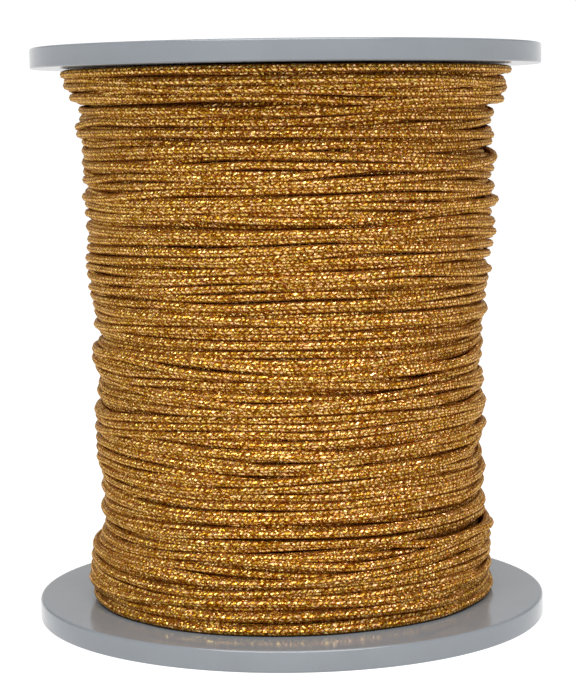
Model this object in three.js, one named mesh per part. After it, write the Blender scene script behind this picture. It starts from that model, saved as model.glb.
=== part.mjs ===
// A spool of braided gold metallic cord, standing on end.
// The spool is one moulded plastic piece: two round flanges on a hollow barrel that is open right through.
// The cord is wound on the barrel in many layers, and only the wound form is solid here.
// Units are millimetres and +Z is up. The origin is the centre of the spool's underside.

import * as THREE from "three";

// Driving dimensions of the spool
const FLANGE_DIAMETER = 100;
const SPOOL_HEIGHT = 112;
const FLANGE_THICKNESS = 4;
const FLANGE_EDGE_ROUNDING = 1;
const BARREL_DIAMETER = 36;
const BARREL_FILLET = 1.5;
const BORE_DIAMETER = 30;
const BORE_CHAMFER = 1;

// Driving dimensions of the winding
const CORD_DIAMETER = 1.6;
const SEAT_GAP = 0.3; // between the winding and the plastic that carries it
const GROOVE_DEPTH = 0.5; // how far the line between two turns lies below their crests
const LAY_WANDER = 1.1; // how far a turn strays up or down on its way round
const RIDE_HEIGHT = 0.8; // how far a turn that crosses its neighbours stands out at most
const INNER_CLEARANCE = BARREL_FILLET + SEAT_GAP; // the winding's own bore clears the barrel's fillets

// The waves that a turn follows on its way round: the share of the whole, the number of waves in
// one turn, and how far each turn's waves lie round from those of the turn below, in radians.
const LAY_WAVES = [
  { share: 0.6, count: 1, shift: 0.13 },
  { share: 0.3, count: 2, shift: -0.29 },
  { share: 0.1, count: 5, shift: 0.7 },
];

// Where the turns stand out: some turns do and some don't, and each does so on part of its way.
const RIDE_WAVES = [
  { share: 0.6, count: 0, shift: 2.4 },
  { share: 0.4, count: 2, shift: 1.9 },
];

// The winding's radius at the crests of its turns. It flares where the turns pile up under the top
// flange, and it is slimmest in the lower half.
const WINDING_PROFILE = [
  { height: 4.3, radius: 39.2 },
  { height: 8, radius: 39.5 },
  { height: 14, radius: 39.3 },
  { height: 21, radius: 37.9 },
  { height: 33, radius: 38.1 },
  { height: 40, radius: 38.6 },
  { height: 47, radius: 37.9 },
  { height: 61, radius: 38.6 },
  { height: 69, radius: 39.9 },
  { height: 83, radius: 40.2 },
  { height: 97, radius: 40.7 },
  { height: 102, radius: 41.8 },
  { height: 105, radius: 43.5 },
  { height: 107.7, radius: 44.2 },
];

// How finely the round shapes are divided
const SPOOL_SEGMENTS = 80;
const WINDING_SEGMENTS = 36;
const ROUNDING_STEPS = 3;

const plastic = new THREE.MeshStandardMaterial({ color: 0x9aa0a6, roughness: 0.35, metalness: 0 });
const goldCord = new THREE.MeshStandardMaterial({ color: 0xb07a2c, roughness: 0.45, metalness: 0.6 });

// Points of a quarter round in a profile, about a centre, from one angle to the next in degrees.
function quarterRound(centreX, centreY, radius, fromDegrees, toDegrees) {
  const curve = new THREE.EllipseCurve(
    centreX,
    centreY,
    radius,
    radius,
    THREE.MathUtils.degToRad(fromDegrees),
    THREE.MathUtils.degToRad(toDegrees),
    toDegrees < fromDegrees,
  );
  return curve.getPoints(ROUNDING_STEPS);
}

// The lower half of the spool's section, from the middle of the bore out round the flange and back
// in to the middle of the barrel's outside.
function lowerHalfSection() {
  const flangeRadius = FLANGE_DIAMETER / 2;
  const rimCentre = flangeRadius - FLANGE_EDGE_ROUNDING;
  const boreRadius = BORE_DIAMETER / 2;
  const barrelRadius = BARREL_DIAMETER / 2;
  return [
    new THREE.Vector2(boreRadius, BORE_CHAMFER),
    new THREE.Vector2(boreRadius + BORE_CHAMFER, 0),
    ...quarterRound(rimCentre, FLANGE_EDGE_ROUNDING, FLANGE_EDGE_ROUNDING, -90, 0),
    ...quarterRound(rimCentre, FLANGE_THICKNESS - FLANGE_EDGE_ROUNDING, FLANGE_EDGE_ROUNDING, 0, 90),
    ...quarterRound(
      barrelRadius + BARREL_FILLET,
      FLANGE_THICKNESS + BARREL_FILLET,
      BARREL_FILLET,
      270,
      180,
    ),
  ];
}

// Both flanges and the barrel turned as one closed section, so that the bore runs right through.
function spoolGeometry() {
  const lower = lowerHalfSection();
  const upper = lower.map((p) => new THREE.Vector2(p.x, SPOOL_HEIGHT - p.y)).reverse();
  const section = [...lower, ...upper, lower[0].clone()];
  return new THREE.LatheGeometry(section, SPOOL_SEGMENTS).rotateX(Math.PI / 2);
}

// The crest radius at a height, on straight lines between the rows of the profile.
function profileRadius(height) {
  const last = WINDING_PROFILE[WINDING_PROFILE.length - 1];
  const reach = Math.min(height, last.height);
  const row = Math.max(1, WINDING_PROFILE.findIndex((entry) => entry.height >= reach));
  const below = WINDING_PROFILE[row - 1];
  const above = WINDING_PROFILE[row];
  return THREE.MathUtils.mapLinear(reach, below.height, above.height, below.radius, above.radius);
}

// The sum of a table's waves for one turn at an angle, between -1 and 1.
function sumWaves(waves, turn, angle) {
  return waves.reduce((sum, w) => sum + w.share * Math.sin(w.count * angle + w.shift * turn), 0);
}

// How far a turn strays from level at an angle. Neighbours stray almost alike, so they never meet.
function layWander(turn, angle) {
  return LAY_WANDER * sumWaves(LAY_WAVES, turn, angle);
}

// How far a turn stands out at an angle, where it lies across the turns beside it.
function rideOver(turn, angle) {
  return RIDE_HEIGHT * Math.max(0, sumWaves(RIDE_WAVES, turn, angle));
}

// The winding as a closed ring: a crest and a groove for each turn up the outside, then the bore
// that clears the barrel.
function windingGeometry() {
  const bottom = FLANGE_THICKNESS + SEAT_GAP;
  const top = SPOOL_HEIGHT - FLANGE_THICKNESS - SEAT_GAP;
  const innerRadius = BARREL_DIAMETER / 2 + INNER_CLEARANCE;
  const turns = Math.floor((top - bottom) / CORD_DIAMETER);
  const pitch = (top - bottom) / turns;
  const rows = 2 * turns + 1;

  const positions = [];
  const ringSize = rows + 2;
  for (let column = 0; column < WINDING_SEGMENTS; column++) {
    const angle = (2 * Math.PI * column) / WINDING_SEGMENTS;
    const place = (radius, height) =>
      positions.push(radius * Math.cos(angle), radius * Math.sin(angle), height);
    for (let row = 0; row < rows; row++) {
      const turn = row / 2;
      const level = bottom + turn * pitch;
      const freedom = Math.sqrt(Math.sin((Math.PI * row) / (rows - 1)));
      const height = level + freedom * layWander(turn, angle);
      const crest = row % 2 === 1;
      const radius = profileRadius(level) + (crest ? rideOver(turn, angle) : -GROOVE_DEPTH);
      place(radius, height);
    }
    place(innerRadius, top);
    place(innerRadius, bottom);
  }

  const indices = [];
  for (let column = 0; column < WINDING_SEGMENTS; column++) {
    const here = column * ringSize;
    const beside = ((column + 1) % WINDING_SEGMENTS) * ringSize;
    for (let point = 0; point < ringSize; point++) {
      const next = (point + 1) % ringSize;
      indices.push(here + point, beside + point, beside + next);
      indices.push(here + point, beside + next, here + next);
    }
  }

  const geometry = new THREE.BufferGeometry();
  geometry.setAttribute("position", new THREE.Float32BufferAttribute(positions, 3));
  geometry.setIndex(indices);
  geometry.computeVertexNormals();
  return geometry;
}

function namedMesh(name, geometry, material) {
  const mesh = new THREE.Mesh(geometry, material);
  mesh.name = name;
  return mesh;
}

const spoolOfCord = new THREE.Group();
spoolOfCord.add(namedMesh("spool", spoolGeometry(), plastic));
spoolOfCord.add(namedMesh("wound_cord", windingGeometry(), goldCord));

export default spoolOfCord;
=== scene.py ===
import math

import bpy
import numpy as np
from mathutils import Matrix, Vector


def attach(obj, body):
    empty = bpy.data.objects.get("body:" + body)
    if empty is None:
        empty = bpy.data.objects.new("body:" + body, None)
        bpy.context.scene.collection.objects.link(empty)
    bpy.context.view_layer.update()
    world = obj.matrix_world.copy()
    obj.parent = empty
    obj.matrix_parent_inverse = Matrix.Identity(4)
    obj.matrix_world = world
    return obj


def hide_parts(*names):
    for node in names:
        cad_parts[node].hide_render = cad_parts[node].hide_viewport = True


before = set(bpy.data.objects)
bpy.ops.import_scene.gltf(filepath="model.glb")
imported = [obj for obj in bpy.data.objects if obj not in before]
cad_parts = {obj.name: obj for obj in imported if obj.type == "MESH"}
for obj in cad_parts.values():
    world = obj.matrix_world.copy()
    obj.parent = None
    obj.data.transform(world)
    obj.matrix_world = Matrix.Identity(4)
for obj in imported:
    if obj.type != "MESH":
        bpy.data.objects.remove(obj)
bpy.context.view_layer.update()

MM = 0.001  # metres in a millimetre

# Sizes of the real spool and cord, in mm
FLANGE_RADIUS = 50.0
SPOOL_HEIGHT = 112.0
FLANGE_THICKNESS = 4.0
FLANGE_EDGE_ROUNDING = 0.4
BARREL_RADIUS = 18.0
BARREL_FILLET = 1.5
BORE_RADIUS = 15.0
BORE_CHAMFER = 1.0
CORD_RADIUS = 0.8
WOUND_BOTTOM = 4.1  # the cord lies between these two heights
WOUND_TOP = 107.7

# Radius of the finished winding at its crests, by height, in mm. It flares under the top flange.
FINISHED_RADIUS = np.array([
    (WOUND_BOTTOM, 39.8),
    (8, 39.9),
    (14, 39.6),
    (21, 38.2),
    (33, 38.5),
    (40, 38.9),
    (47, 38.3),
    (61, 39.0),
    (69, 40.2),
    (83, 40.4),
    (97, 41.0),
    (102, 42.2),
    (105, 44.0),
    (WOUND_TOP, 44.8),
])

# The photograph's frame, in pixels, and the lens that fits both flanges in it
FRAME_HEIGHT = 696
FOCAL_LENGTH = 2104.0  # in pixels of the frame
HORIZON_ROW = 275.5  # the row that the lens looks straight at
SENSOR = 36.0  # mm along the frame's longer side
CAMERA_PLACE = (0.0, -416.0, 99.4)  # mm
CAMERA_PITCH = 4.48  # degrees down
CAMERA_ROLL = -0.7  # degrees


def place_camera():
    """A lens near the top of the spool, looking slightly down, as the photograph was taken."""
    pitch = math.radians(CAMERA_PITCH)
    roll = math.radians(CAMERA_ROLL)
    forward = Vector((0, math.cos(pitch), -math.sin(pitch)))
    level = Vector((1, 0, 0))
    upright = level.cross(forward)
    right = math.cos(roll) * level + math.sin(roll) * upright
    up = -math.sin(roll) * level + math.cos(roll) * upright
    lens = bpy.data.cameras.new("camera")
    lens.sensor_width = SENSOR
    lens.lens = FOCAL_LENGTH / FRAME_HEIGHT * SENSOR
    lens.shift_y = (HORIZON_ROW - FRAME_HEIGHT / 2) / FRAME_HEIGHT
    lens.clip_start = 0.01
    lens.clip_end = 20.0
    camera = bpy.data.objects.new("camera", lens)
    bpy.context.scene.collection.objects.link(camera)
    turn = Matrix((right, up, -forward)).transposed().to_4x4()
    camera.matrix_world = Matrix.Translation(Vector(CAMERA_PLACE) * MM) @ turn
    bpy.context.scene.camera = camera


place_camera()


def linear(hex_colour):
    """An sRGB hex colour as linear RGBA."""
    parts = [int(hex_colour[i:i + 2], 16) / 255 for i in (1, 3, 5)]
    return tuple(c / 12.92 if c <= 0.04045 else ((c + 0.055) / 1.055) ** 2.4 for c in parts) + (1.0,)


def add(tree, kind, feeds=(), out=0, ramp=None, **settings):
    """Adds a node with its settings and feeds its inputs, in order or by name. Gives back one output."""
    node = tree.nodes.new(kind)
    for name, value in settings.items():
        setattr(node, name, value)
    for key, value in feeds.items() if isinstance(feeds, dict) else enumerate(feeds):
        if isinstance(value, bpy.types.NodeSocket):
            tree.links.new(value, node.inputs[key])
        else:
            node.inputs[key].default_value = value
    if ramp:
        stops = node.color_ramp.elements
        while len(stops) < len(ramp):
            stops.new(0.5)
        for stop, (place, colour) in zip(stops, ramp):
            stop.position = place
            stop.color = linear(colour)
    return node.outputs[out] if node.outputs else node


def new_material(name):
    """A material with no nodes yet, and its node tree."""
    material = bpy.data.materials.new(name)
    material.use_nodes = True
    material.node_tree.nodes.clear()
    return material, material.node_tree


# Node kinds that the materials use again and again
SUM = "ShaderNodeMath"
NOISE = "ShaderNodeTexNoise"
MAP = "ShaderNodeMapRange"
RAMP = "ShaderNodeValToRGB"
JOIN = "ShaderNodeCombineXYZ"

# The plastic's faint unevenness, in mm
FLOW_MARKS = 8.3  # width of the flow and sink marks, which bend the mirrored light a little
FLOW_DEPTH = 0.4  # height of their bump at full strength
RUBBED_PATCHES = 15.4  # width of the patches that handling has dulled, with finer ones in them


def moulded_polystyrene():
    """High-impact polystyrene, injection moulded in a polished tool: a cool grey with a clear gloss.

    It mirrors what stands on it at a low angle, a little dulled by handling.
    """
    material, tree = new_material("moulded_polystyrene")
    place = add(tree, "ShaderNodeTexCoord", out="Object")
    flow = add(tree, NOISE, {"Vector": place, "Scale": 1 / (FLOW_MARKS * MM), "Detail": 1.0})
    rubbed = add(tree, NOISE, {
        "Vector": place, "Scale": 1 / (RUBBED_PATCHES * MM), "Detail": 6.0, "Roughness": 0.6})
    dulled = add(tree, MAP, {
        "Value": rubbed, "From Min": 0.3, "From Max": 0.7, "To Min": 0.12, "To Max": 0.18})
    tint = add(tree, RAMP, [rubbed], ramp=[(0.3, "#6E7378"), (0.7, "#74797E")])
    bump = add(tree, "ShaderNodeBump", {"Height": flow, "Strength": 0.06, "Distance": FLOW_DEPTH * MM})
    shader = add(tree, "ShaderNodeBsdfPrincipled", {
        "Base Color": tint, "Roughness": dulled, "Normal": bump, "IOR": 1.59})
    add(tree, "ShaderNodeOutputMaterial", {"Surface": shader})
    return material


# The braid. Real films are about 0.2 mm wide, which is too fine to show, so they are drawn at 0.4 mm.
STITCH_LENGTH = 1.2  # mm along the cord from one stitch to the next
STITCH_COLUMNS = 8  # columns of stitches around the cord
COLUMN_WIDTH = 2 * math.pi * CORD_RADIUS / STITCH_COLUMNS  # mm
STITCH_LEAN = 0.55  # stitch lengths by which a stitch runs ahead across its column
FILMS_A_STITCH = 3  # flat films lying side by side in one stitch
CRINKLE = 0.29  # mm, length of the flat bits that each film is crinkled into
UNEVEN_LENGTH = 5.0  # mm of cord over which a column's take-up varies
UNEVEN_STITCHES = 2.6  # stitches by which it varies at most
COLUMNS_APART = 5.3  # steps of noise between two columns, so that each varies on its own
PATCH_LENGTH = 4.0  # mm of cord that leans to olive or to orange together

# How far a bit of film tips from lying flat on the cord, as the sideways part of the way it faces
STITCH_ROUND = 1.0  # over a stitch's round back, from end to end and from side to side
STITCH_TIP = 0.2  # of a whole stitch, by chance
FILM_TWIST = 1.1  # of each flat bit of film, by chance


def braided_metallised_polyester():
    """Polyester film, coated with metal, lacquered gold, slit and braided round a core.

    Each stitch is a few flat films that lie at their own angles, so some flash and others stay dark,
    and red-brown thread shows between the stitches. Its colour also holds painted light: pale painted
    flashes, painted highlights on the crowns of the stitches and the middles of the films, and painted
    shade at the stitches' ends and in the gaps, where the thread is kept dark.
    """
    material, tree = new_material("braided_metallised_polyester")

    # Which stitch and film this is: columns run along the cord and lean left and right by turns.
    lay = add(tree, "ShaderNodeUVMap", uv_map="lay")
    run, round_cord, _ = add(tree, "ShaderNodeSeparateXYZ", [lay]).node.outputs
    around = add(tree, SUM, [round_cord, STITCH_COLUMNS], operation="MULTIPLY")
    column = add(tree, SUM, [around], operation="FLOOR")
    across = add(tree, SUM, [add(tree, SUM, [around], operation="FRACT"), 0.5], operation="SUBTRACT")
    odd = add(tree, SUM, [column, 2.0], operation="FLOORED_MODULO")
    side = add(tree, SUM, [odd, 2.0, -1.0], operation="MULTIPLY_ADD")
    lean = add(tree, SUM, [side, across], operation="MULTIPLY")
    along = add(tree, SUM, [run, STITCH_LENGTH], operation="DIVIDE")
    along = add(tree, SUM, [lean, STITCH_LEAN, along], operation="MULTIPLY_ADD")
    along = add(tree, SUM, [odd, 0.5, along], operation="MULTIPLY_ADD")
    # The take-up is uneven, so that a column runs a little ahead of its neighbour or behind it.
    slow = add(tree, SUM, [run, 1 / UNEVEN_LENGTH], operation="MULTIPLY")
    apart = add(tree, SUM, [column, COLUMNS_APART], operation="MULTIPLY")
    uneven = add(tree, NOISE, {"Vector": add(tree, JOIN, [slow, apart]), "Scale": 1.0, "Detail": 1.0},
                 noise_dimensions="2D")
    along = add(tree, SUM, [uneven, UNEVEN_STITCHES, along], operation="MULTIPLY_ADD")
    stitch = add(tree, SUM, [along], operation="FLOOR")
    ahead = add(tree, SUM, [add(tree, SUM, [along], operation="FRACT"), 0.5], operation="SUBTRACT")
    films = add(tree, SUM, [along, FILMS_A_STITCH], operation="MULTIPLY")
    film = add(tree, SUM, [films], operation="FLOOR")
    # A film is creased square to its own length, which runs slanting over its column.
    slant = STITCH_LEAN * STITCH_LENGTH / COLUMN_WIDTH
    crease = COLUMN_WIDTH / CRINKLE / math.hypot(1, slant)
    creases = add(tree, SUM, [run, -slant / COLUMN_WIDTH * crease], operation="MULTIPLY")
    creases = add(tree, SUM, [creases, side], operation="MULTIPLY")
    creases = add(tree, SUM, [around, crease, creases], operation="MULTIPLY_ADD")
    crinkle = add(tree, SUM, [creases], operation="FLOOR")

    # Chance values: two tips and a tone for each stitch, and for each flat bit of film in it. No column
    # has the number -9, which keeps a stitch's chance apart from its films'.
    chance = []
    for which, place, kind in ((stitch, column, -9.0), (film, crinkle, column)):
        spot = add(tree, JOIN, [which, place, kind])
        colour = add(tree, "ShaderNodeTexWhiteNoise", [spot], out="Color")
        chance.append(add(tree, "ShaderNodeSeparateColor", [colour]).node.outputs)
    of_stitch, of_film = chance
    film_lean = colour.node.outputs["Value"]

    # A stitch is a small pillow: highest in the middle and gone at its four sides. A film is one too,
    # across its own width.
    pillows = []
    on_film = add(tree, SUM, [add(tree, SUM, [films], operation="FRACT"), 0.5], operation="SUBTRACT")
    for place in (ahead, across, on_film):
        edge = add(tree, SUM, [add(tree, SUM, [place, 2.0], operation="MULTIPLY")], operation="ABSOLUTE")
        slope = add(tree, SUM, [edge, 2.0], operation="POWER")
        pillows.append(add(tree, SUM, [1.0, slope], operation="SUBTRACT"))
    crown = add(tree, SUM, pillows[:2], operation="MULTIPLY")

    # The way a film faces: the stitch's round back, then the stitch's own tip and the film's own twist.
    faces = []
    level = -(FILM_TWIST + STITCH_TIP) / 2  # takes the mean of both chances off again
    for place, stitch_tip, film_tip in (
        (ahead, of_stitch[0], of_film[0]),
        (across, of_stitch[1], of_film[1]),
    ):
        tip = add(tree, SUM, [film_tip, FILM_TWIST, level], operation="MULTIPLY_ADD")
        tip = add(tree, SUM, [stitch_tip, STITCH_TIP, tip], operation="MULTIPLY_ADD")
        tip = add(tree, SUM, [place, STITCH_ROUND, tip], operation="MULTIPLY_ADD")
        faces.append(add(tree, SUM, [tip, 0.5, 0.5], operation="MULTIPLY_ADD"))
    facing = add(tree, "ShaderNodeCombineColor", {"Red": faces[0], "Green": faces[1], "Blue": 1.0})
    normal = add(tree, "ShaderNodeNormalMap", {"Color": facing, "Strength": 1.0},
                 uv_map="lay", space="TANGENT")

    # Gold from a brown painted shade to a pale painted flash: half by the film's own tone, which picks
    # at random the films that flash, a quarter by how high it lies on the stitch, which paints a
    # highlight on the crown and shade at its ends, and the rest by its width, which paints a highlight
    # along each film's middle, and by the stitch's tone.
    tone_and_painted_glint = 0.0
    for cause, share in ((of_film[2], 0.5), (of_stitch[2], 0.1), (pillows[2], 0.15), (crown, 0.25)):
        tone_and_painted_glint = add(tree, SUM, [cause, share, tone_and_painted_glint], operation="MULTIPLY_ADD")
    gold = add(tree, RAMP, [tone_and_painted_glint], ramp=[
        (0.24, "#381600"),
        (0.42, "#9B700C"),
        (0.55, "#C59B38"),
        (0.67, "#E8C082"),
        (0.80, "#FFDCBE"),
    ])
    # Half by the patch of cord and half by the film, it leans to olive or to orange.
    patch = add(tree, SUM, [run, 1 / PATCH_LENGTH], operation="MULTIPLY")
    patch = add(tree, NOISE, {
        "Vector": add(tree, JOIN, [patch, round_cord]), "Scale": 1.0, "Detail": 2.0},
        noise_dimensions="2D")
    leaning = add(tree, SUM, [patch, film_lean], operation="ADD")
    leaning = add(tree, SUM, [leaning, 0.5], operation="MULTIPLY")
    leaning = add(tree, RAMP, [leaning], ramp=[(0.3, "#ECFAB8"), (0.7, "#FFEEDC")])
    gold = add(tree, "ShaderNodeMix", {"Factor": 1.0, 6: gold, 7: leaning}, out=2,
               data_type="RGBA", blend_type="MULTIPLY")
    # Down in the gaps between the stitches it is thread, and bare of metal. The thread is real
    # red-brown, but its colour is kept dark, which paints shade into these pits.
    shown = add(tree, MAP, {"Value": crown, "From Min": 0.0, "From Max": 0.5})
    colour = add(tree, "ShaderNodeMix", {"Factor": shown, 6: linear("#761A04"), 7: gold}, out=2,
                 data_type="RGBA")
    rough = add(tree, SUM, [of_film[2], -0.1, 0.45], operation="MULTIPLY_ADD")
    shader = add(tree, "ShaderNodeBsdfPrincipled", {
        "Base Color": colour, "Metallic": shown, "Roughness": rough, "Normal": normal,
        "Specular Tint": linear("#F0D8B0"), "Specular IOR Level": 0.03,
        "Sheen Weight": 0.17, "Sheen Roughness": 0.35, "Sheen Tint": linear("#B88656")})
    add(tree, "ShaderNodeOutputMaterial", {"Surface": shader})
    return material


# How the winder lays the cord
WINDING_SEED = 11
STEPS = 720  # places worked out on each turn
STEP_ANGLE = 2 * math.pi / STEPS
CELL = 0.1  # mm, spacing of the heights at which the winding's surface is kept
LAYERS = 5  # layers laid turn by turn; those below hardly show
TURN_PITCH = 1.75  # mm that the guide travels while the spool turns once
GUIDE_SWAY = 1.25  # mm that the guide strays from an even pace
LAID_DEPTH = 2.8  # mm under the finished winding's crests at which the laying starts
SINK = 0.3  # mm that a cord presses into those it crosses as it is laid
LOOK_AHEAD = 80  # steps over which a taut cord feels what comes next
PACKED = 0.48  # how much of the laid relief is left once the whole winding has settled
PITCH_SPREAD = (0.85, 1.2)  # a layer's pitch lies between these times the usual one
STRAYS_A_TURN = 3  # times a turn that the guide's straying changes
GROUND_RIPPLE = 0.3  # mm up and down over the turns that the first layer here is laid on
CREST_SEARCH = 1.0  # mm above and below a height in which a crest is found
CREST_EVENING = 12.0  # mm of height over which the crests' radius is evened out

# How a cord slides sideways: it feels the slope within each reach, in mm, which pushes it downhill
CREST_REACH, CREST_PUSH = 0.3, 2.2
HILL_REACH, HILL_PUSH = 1.1, 0.4
STEEPEST = 0.8  # slope beyond which it slides no faster
GUIDE_PULL = 1.6  # pace in mm to the radian, for each mm that the guide is ahead of it
QUICKNESS = 6  # how soon it takes up a new pace, to the radian

# How stiff a taut cord is, in steps
BRIDGES = (40, 32, 24, 16, 12, 8, 6, 4, 3, 2, 1)  # half lengths of the hollows that it bridges
STIFFNESS = 19  # steps over which it evens out its bends
JOIN_LENGTH = 40  # steps over which a turn eases into the line of the one before
FIRST_STEPS = 20  # steps whose mean radius stands for the turn before the very first one


def smooth_line(values, width):
    """A line of values evened out over a number of places."""
    weights = np.hanning(width)
    return np.convolve(np.pad(values, width // 2, mode="edge"), weights / weights.sum(), "valid")


def eased(share):
    """Goes from 0 to 1 with no kink at either end."""
    return share * share * (3 - 2 * share)


class Winding:
    """The surface of the winding as radii over each step round the spool, which each turn raises."""

    def __init__(self):
        self.heights = np.arange(WOUND_BOTTOM, WOUND_TOP + CELL / 2, CELL)
        self.finished = np.interp(self.heights, FINISHED_RADIUS[:, 0], FINISHED_RADIUS[:, 1])
        angles = np.arange(STEPS)[:, None] * STEP_ANGLE
        # The turns below wander up and down by about a millimetre on their way round.
        sway = 0.8 * np.sin(angles) + 0.5 * np.sin(2 * angles + 1)
        ripple = np.cos(math.pi * (self.heights + sway) / CORD_RADIUS)
        self.surface = self.finished - LAID_DEPTH + GROUND_RIPPLE * ripple
        self.half = int(round(CORD_RADIUS / CELL))
        offsets = np.arange(-self.half, self.half + 1) * CELL
        self.profile = np.sqrt(np.maximum(CORD_RADIUS ** 2 - offsets ** 2, 0))
        self.low = WOUND_BOTTOM + CORD_RADIUS
        self.high = WOUND_TOP - CORD_RADIUS

    def under(self, height):
        """The cells that a cord at this height covers, and the cord's own half section over them."""
        middle = int(round((height - WOUND_BOTTOM) / CELL))
        start = max(0, middle - self.half)
        end = min(len(self.heights), middle + self.half + 1)
        return start, end, self.profile[start - middle + self.half:end - middle + self.half]

    def rest(self, row, height):
        """The radius at which a cord at this height rests on what is laid."""
        start, end, profile = self.under(height)
        return float((row[start:end] + profile).max())

    def tilt(self, row, height, reach):
        """How steeply the ground under a cord rises towards the top, within sane limits."""
        above = self.rest(row, min(self.high, height + reach))
        below = self.rest(row, max(self.low, height - reach))
        return max(-STEEPEST, min(STEEPEST, (above - below) / (2 * reach)))

    def raise_under(self, step, height, radius):
        """Raises the surface at one step to the outer side of a cord laid there."""
        start, end, profile = self.under(height)
        row = self.surface[step]
        row[start:end] = np.maximum(row[start:end], radius + profile)


def guide_heights(layer, turns, low, high, chance):
    """Where the winder's guide is at each step of a layer: up or down the spool, straying a little."""
    places = np.arange(turns * STEPS + LOOK_AHEAD)
    knots = chance.normal(0, 1, turns * STRAYS_A_TURN + 8)  # a few more, for the look ahead
    knot = places * STRAYS_A_TURN // STEPS
    ease = eased(places * STRAYS_A_TURN / STEPS - knot)
    stray = knots[knot] * (1 - ease) + knots[knot + 1] * ease
    share = np.clip(places / (turns * STEPS), 0, 1)
    share = share if layer % 2 == 0 else 1 - share
    return low + (high - low) * share + GUIDE_SWAY * stray


def slide_into_place(winding, guide, height, pace):
    """One turn and a little of the next: the cord follows the guide and slides off crests into the
    grooves beside them. Gives its heights and resting radii, and where and how fast the turn ends."""
    laid = np.empty(STEPS + LOOK_AHEAD)
    rest = np.empty(STEPS + LOOK_AHEAD)
    ends = None
    for i in range(STEPS + LOOK_AHEAD):
        row = winding.surface[i % STEPS]
        slope = CREST_PUSH * winding.tilt(row, height, CREST_REACH)
        slope += HILL_PUSH * winding.tilt(row, height, HILL_REACH)
        pull = guide[i] - height - slope
        pace += (GUIDE_PULL * pull - pace) * STEP_ANGLE * QUICKNESS
        height = min(winding.high, max(winding.low, height + pace * STEP_ANGLE))
        laid[i] = height
        rest[i] = winding.rest(row, height) - SINK
        if i == STEPS - 1:
            ends = (height, pace)
    return laid, rest, ends


def pull_taut(radius):
    """A taut cord bridges each hollow on a straight line, and is too stiff for sharp bends."""
    for _ in range(2):
        for reach in BRIDGES:
            chord = (radius[2 * reach:] + radius[:-2 * reach]) / 2
            bridge = radius.copy()
            bridge[reach:-reach] = chord * math.cos(reach * STEP_ANGLE)
            radius = np.maximum(radius, bridge)
    return smooth_line(radius, STIFFNESS)


def draw_tight(rest, tail):
    """The radii of one turn of taut cord, joined on to the tail end of the turn before."""
    before = np.full(LOOK_AHEAD, rest[:FIRST_STEPS].mean()) if tail is None else tail
    radius = pull_taut(np.concatenate([before, rest]))[LOOK_AHEAD:LOOK_AHEAD + STEPS]
    if tail is None:
        return radius
    step_in = 2 * tail[-1] - tail[-2] - radius[0]
    return radius + step_in * eased(np.clip(1 - np.arange(STEPS) / JOIN_LENGTH, 0, 1))


def wind_layers():
    """Winds the cord up and down the spool. Gives the finished winding's surface, and the heights and
    radii of each layer's cord."""
    chance = np.random.default_rng(WINDING_SEED)
    winding = Winding()
    layers = []
    height, pace, tail = winding.low, 0.0, None
    for layer in range(LAYERS):
        pitch = TURN_PITCH * chance.uniform(*PITCH_SPREAD)
        turns = int(math.ceil((winding.high - winding.low) / pitch))
        guide = guide_heights(layer, turns, winding.low, winding.high, chance)
        heights = []
        radii = []
        for turn in range(turns):
            ahead = guide[turn * STEPS:]
            laid, rest, (height, pace) = slide_into_place(winding, ahead, height, pace)
            radius = draw_tight(rest, tail)
            tail = radius[-LOOK_AHEAD:].copy()
            for i in range(STEPS):
                winding.raise_under(i, laid[i], radius[i])
            heights.append(laid[:STEPS])
            radii.append(radius)
        layers.append((np.concatenate(heights), np.concatenate(radii)))
    return winding, layers


def settle(winding, layers):
    """Packs the relief down and brings the crests to the finished winding's radius.

    Gives the layers, and the radius of the crests below them at each of the winding's heights.
    """
    reach = round(CREST_SEARCH / CELL)
    crests = np.array([winding.surface[:, max(0, i - reach):i + reach + 1].max(axis=1).mean()
                       for i in range(len(winding.heights))])
    crests = smooth_line(crests, round(CREST_EVENING / CELL) + 1)
    settled = []
    for heights, radii in layers:
        was = np.interp(heights, winding.heights, crests)
        now = np.interp(heights, winding.heights, winding.finished)
        settled.append((heights, now - CORD_RADIUS + PACKED * (radii + CORD_RADIUS - was)))
    below = winding.finished + PACKED * (winding.finished - LAID_DEPTH + GROUND_RIPPLE - crests)
    return settled, below


# The cord's mesh, and how the map that it is baked through shares out each of its rows
CORD_SIDES = 8
RINGS_A_TURN = 144
OUTER_SHARE = 0.8  # of a row, for the half of the cord that faces out
ROW_GAP = 0.04  # of a row, left free before the next
END_RADIUS = 0.4  # of a row, for each end of the cord


def gold_piece(name, mesh, material):
    """A piece of the winding, which rides on the one body and stands for the solid wound form."""
    mesh.materials.append(material)
    piece = bpy.data.objects.new(name, mesh)
    bpy.context.scene.collection.objects.link(piece)
    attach(piece, "root")
    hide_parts("wound_cord")


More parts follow.
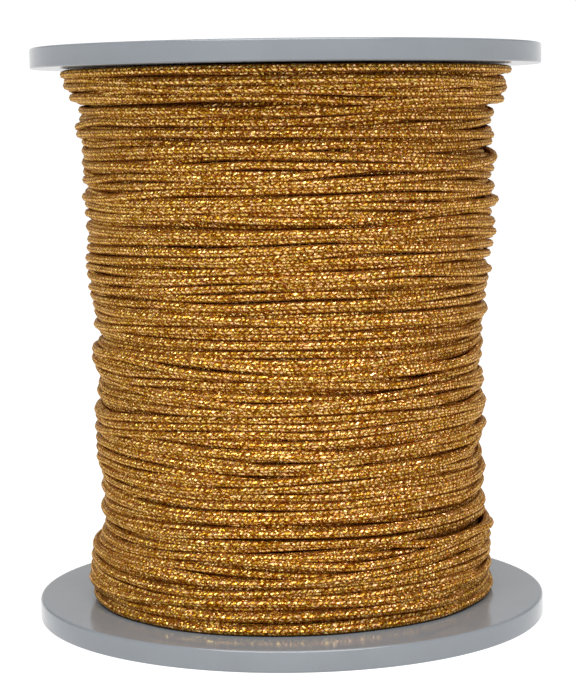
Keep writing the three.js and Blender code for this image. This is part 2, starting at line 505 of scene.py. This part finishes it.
def rows_of_turns(quads_long):
    """A map to bake the cord through: a row for each turn, most of it for the half that faces out.

    Both ends of the cord lie side by side in a row of their own.
    """
    rows = math.ceil(quads_long / RINGS_A_TURN) + 1
    quad = np.arange(quads_long)
    start = (quad % RINGS_A_TURN / RINGS_A_TURN)[:, None, None] + np.zeros((1, CORD_SIDES, 1))
    u = start + np.array([0, 0, 1, 1]) / RINGS_A_TURN
    half = CORD_SIDES // 2
    inner_share = 1 - ROW_GAP - OUTER_SHARE
    widths = np.array([OUTER_SHARE] * half + [inner_share] * half) / half
    edges = np.concatenate([[0], np.cumsum(widths)])
    place = (np.arange(CORD_SIDES) + half // 2) % CORD_SIDES
    v = edges[np.stack([place, place + 1, place + 1, place], axis=1)]
    v = ((quad // RINGS_A_TURN)[:, None, None] + v) / rows
    ends = []
    turn = np.arange(CORD_SIDES) * 2 * math.pi / CORD_SIDES
    for middle in (0.25, 0.75):
        across = middle + END_RADIUS * np.cos(turn) / rows
        up = 1 + (END_RADIUS * np.sin(turn) - 0.5) / rows
        ends.append(np.stack([across, up], axis=1))
    return np.concatenate([np.stack([u, v], axis=3).ravel(), np.concatenate(ends).ravel()])


def closed_tube(name, points):
    """A tube over rings of points, in mm, with a face across each end."""
    rings, sides = points.shape[:2]
    side = np.arange(sides)
    beside = (side + 1) % sides
    ring = np.arange(rings - 1)[:, None] * sides
    following = ring + sides
    quads = np.stack([ring + side, ring + beside, following + beside, following + side], axis=2)
    corners = np.concatenate([quads.ravel(), side, (rings - 1) * sides + side[::-1]])
    sizes = np.append(np.full((rings - 1) * sides, 4), [sides, sides])
    mesh = bpy.data.meshes.new(name)
    mesh.vertices.add(rings * sides)
    mesh.vertices.foreach_set("co", (points * MM).ravel())
    mesh.loops.add(len(corners))
    mesh.loops.foreach_set("vertex_index", corners)
    mesh.polygons.add(len(sizes))
    mesh.polygons.foreach_set("loop_start", np.cumsum(sizes) - sizes)
    mesh.polygons.foreach_set("loop_total", sizes)
    mesh.polygons.foreach_set("use_smooth", [True] * len(sizes))
    return mesh


def cord_layer(name, path_height, path_radius, material):
    """One layer's cord as a closed tube. Its lay is the length along it and the way round it."""
    every = STEPS // RINGS_A_TURN
    height = path_height[::every, None]
    radius = path_radius[::every, None]
    angle = np.arange(len(height))[:, None] * STEP_ANGLE * every
    section = np.arange(CORD_SIDES) * 2 * math.pi / CORD_SIDES
    out = radius + CORD_RADIUS * np.cos(section)
    x = out * np.cos(angle)
    y = out * np.sin(angle)
    z = height + CORD_RADIUS * np.sin(section)
    points = np.stack([x, y, z], axis=2)
    mesh = closed_tube(name, points)

    side = np.arange(CORD_SIDES)
    stretches = np.linalg.norm(np.diff(points[:, 0], axis=0), axis=1)
    length = np.concatenate([[0], np.cumsum(stretches)])[:, None] + 0 * side
    u = np.stack([length[:-1], length[:-1], length[1:], length[1:]], axis=2)
    v = np.broadcast_to(np.stack([side, side + 1, side + 1, side], axis=1) / CORD_SIDES, u.shape)
    at_ends = np.zeros(2 * 2 * CORD_SIDES)
    lay = np.concatenate([np.stack([u, v], axis=3).ravel(), at_ends])
    mesh.uv_layers.new(name="lay").data.foreach_set("uv", lay)
    mesh.uv_layers.new(name="OFBake").data.foreach_set("uv", rows_of_turns(len(height) - 1))
    mesh.update(calc_edges=True)
    mesh.validate()
    gold_piece(name, mesh, material)


def turned_ring(name, profile, segments):
    """A closed section of radii and heights, in mm, turned about the spool's axis."""
    profile = np.array(profile, dtype=float)
    angle = np.arange(segments) * 2 * math.pi / segments
    x = profile[:, 0] * np.cos(angle)[:, None]
    y = profile[:, 0] * np.sin(angle)[:, None]
    z = profile[:, 1] + 0 * angle[:, None]
    points = np.stack([x, y, z], axis=2).reshape(-1, 3) * MM
    size = len(profile)
    here = np.arange(segments)[:, None] * size
    beside = (np.arange(segments)[:, None] + 1) % segments * size
    p = np.arange(size)
    q = (p + 1) % size
    faces = np.stack([here + p, beside + p, beside + q, here + q], axis=2).reshape(-1, 4)
    mesh = bpy.data.meshes.new(name)
    mesh.from_pydata(points.tolist(), [], faces.tolist())
    mesh.polygons.foreach_set("use_smooth", [True] * len(mesh.polygons))
    mesh.update()
    return mesh


# The ring of turns below the layers laid one by one
RING_SEGMENTS = 96
TURN_ADVANCE = 7.3  # mm of lay between one point of the section and the next: no stitches line up
TURN_SWING = np.radians([-75, -40, 0, 40])  # how far up each point of a turn's section faces
BARREL_CLEARANCE = 0.3  # mm between the cord and the barrel's fillet


def cord_layers_below(crest, heights, material):
    """The layers below those laid one by one, as one closed ring of level turns that hardly shows."""
    turns = int((WOUND_TOP - WOUND_BOTTOM) / (2 * CORD_RADIUS))
    spacing = (WOUND_TOP - WOUND_BOTTOM) / turns
    middle = WOUND_BOTTOM + spacing * (np.arange(turns)[:, None] + 0.5)
    z = (middle + spacing / 2 * np.sin(TURN_SWING) / math.sin(-TURN_SWING[0])).ravel()
    z = np.append(z, WOUND_TOP)
    dip = np.append(np.tile(CORD_RADIUS * (1 - np.cos(TURN_SWING)), turns), CORD_RADIUS)
    radii = np.interp(z, heights, crest) - dip
    inner = BARREL_RADIUS + BARREL_FILLET + BARREL_CLEARANCE
    profile = [(inner, WOUND_BOTTOM)] + list(zip(radii, z)) + [(inner, WOUND_TOP)]
    way_round = np.concatenate([[0], np.tile(TURN_SWING, turns) / (2 * math.pi), [0.25, 0.25]])
    mesh = turned_ring("cord_layers_below", profile, RING_SEGMENTS)
    lay = mesh.uv_layers.new(name="lay")
    bake = mesh.uv_layers.new(name="OFBake")
    size = len(profile)
    step = 2 * math.pi * crest.mean() / RING_SEGMENTS
    for polygon in mesh.polygons:
        segment = polygon.index // size
        for loop in polygon.loop_indices:
            vertex = mesh.loops[loop].vertex_index
            column = vertex // size
            column = column if column >= segment else RING_SEGMENTS
            lay.data[loop].uv = (column * step + vertex % size * TURN_ADVANCE, way_round[vertex % size])
            row = polygon.index % size + (vertex % size != polygon.index % size)
            bake.data[loop].uv = (column / RING_SEGMENTS, row / size)
    gold_piece("cord_layers_below", mesh, material)


def wind_the_cord(material):
    """The five outer layers of cord, turn by turn, over a plain ring of the layers below."""
    winding, layers = wind_layers()
    layers, crest_below = settle(winding, layers)
    for number, (path_height, path_radius) in enumerate(layers, 1):
        cord_layer(f"cord_layer_{number}", path_height, path_radius, material)
    cord_layers_below(crest_below, winding.heights, material)


# How finely the spool's mesh is cut
SPOOL_SEGMENTS = 256  # round its axis
ROUNDING_POINTS = 7  # on each quarter round of its section


def quarter_round(radius, height, rounding, start, end):
    """Points of a quarter round in a profile, from one angle to the next in degrees."""
    angles = np.radians(np.linspace(start, end, ROUNDING_POINTS))
    return [(radius + rounding * math.cos(a), height + rounding * math.sin(a)) for a in angles]


def mould_the_spool(material):
    """Both flanges and the hollow barrel as one moulded piece with softly rounded rims."""
    edge = FLANGE_EDGE_ROUNDING
    rim = FLANGE_RADIUS - edge
    flat = 0.3  # mm of flat kept beside each rounding, so that its shading ends there
    lower = [(BORE_RADIUS, BORE_CHAMFER), (BORE_RADIUS + BORE_CHAMFER, 0.0)]
    lower += [(BORE_RADIUS + BORE_CHAMFER + flat, 0.0), (rim - flat, 0.0)]
    lower += quarter_round(rim, edge, edge, -90, 0)
    lower += quarter_round(rim, FLANGE_THICKNESS - edge, edge, 0, 90)
    foot = BARREL_RADIUS + BARREL_FILLET
    lower += [(rim - flat, FLANGE_THICKNESS), (foot + flat, FLANGE_THICKNESS)]
    lower += quarter_round(foot, FLANGE_THICKNESS + BARREL_FILLET, BARREL_FILLET, 270, 180)
    upper = [(r, SPOOL_HEIGHT - z) for r, z in reversed(lower)]
    mesh = turned_ring("moulded_spool", lower + upper, SPOOL_SEGMENTS)
    mesh.materials.append(material)
    piece = bpy.data.objects.new("moulded_spool", mesh)
    bpy.context.scene.collection.objects.link(piece)
    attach(piece, "root")
    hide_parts("spool")


# The stage: places and sizes in metres, and glows as a share of white
SPOOL_MIDDLE = Vector((0, 0, SPOOL_HEIGHT / 2 * MM))
FLOOR_REACH = 6.0
FLOOR_GLOW = 0.88
SCREEN_GLOW = 1.06
SCREEN_EDGE = (0.34, 0.10)  # sines of the heights at which the screen begins and is full
FRONT_GLOW = 0.36
BACK_GLOW = 0.27
FRONT_TO_BACK = (-0.8, 0.1)  # how far back the front's glow ends and the back's begins
KEY_PLACE = (0.0, -0.62, 1.08)
KEY_SIZE = 1.4
KEY_POWER = 31.0  # watts


def lit_floor():
    """A sheet of white acrylic, lit a little from below, as a product is shown on."""
    mesh = bpy.data.meshes.new("floor")
    r = FLOOR_REACH
    mesh.from_pydata([(-r, -r, 0), (r, -r, 0), (r, r, 0), (-r, r, 0)], [], [(0, 1, 2, 3)])
    floor = bpy.data.objects.new("floor", mesh)
    bpy.context.scene.collection.objects.link(floor)
    material, tree = new_material("lit_white_acrylic")
    shader = add(tree, "ShaderNodeBsdfPrincipled", {
        "Base Color": linear("#8C8C8C"), "Roughness": 0.9,
        "Emission Color": (1, 1, 1, 1), "Emission Strength": FLOOR_GLOW})
    add(tree, "ShaderNodeOutputMaterial", {"Surface": shader})
    mesh.materials.append(material)


def white_tent():
    """A white tent, brighter in front, with a low bright screen all round."""
    world = bpy.data.worlds.new("white_tent")
    world.use_nodes = True
    tree = world.node_tree
    tree.nodes.clear()
    direction = add(tree, "ShaderNodeTexCoord", out="Generated")
    _, back, rise = add(tree, "ShaderNodeSeparateXYZ", [direction]).node.outputs
    screen = add(tree, MAP, {"Value": rise, "From Min": SCREEN_EDGE[0], "From Max": SCREEN_EDGE[1]},
                 interpolation_type="SMOOTHSTEP")
    tent = add(tree, MAP, {
        "Value": back, "From Min": FRONT_TO_BACK[0], "From Max": FRONT_TO_BACK[1],
        "To Min": FRONT_GLOW, "To Max": BACK_GLOW}, interpolation_type="SMOOTHSTEP")
    glow = add(tree, "ShaderNodeMix", {"Factor": screen, "A": tent, "B": SCREEN_GLOW})
    surface = add(tree, "ShaderNodeBackground", {"Color": (1, 1, 1, 1), "Strength": glow})
    add(tree, "ShaderNodeOutputWorld", {"Surface": surface})
    bpy.context.scene.world = world


def softbox(name, place, size, power):
    """A square lamp, in metres and watts, aimed at the middle of the spool."""
    lamp = bpy.data.lights.new(name, "AREA")
    lamp.size = size
    lamp.energy = power
    holder = bpy.data.objects.new(name, lamp)
    holder.location = place
    holder.rotation_euler = (SPOOL_MIDDLE - Vector(place)).to_track_quat("-Z", "Y").to_euler()
    bpy.context.scene.collection.objects.link(holder)


mould_the_spool(moulded_polystyrene())
wind_the_cord(braided_metallised_polyester())
lit_floor()
white_tent()
softbox("front_key", KEY_PLACE, KEY_SIZE, KEY_POWER)
bpy.context.scene.view_settings.view_transform = "Standard"
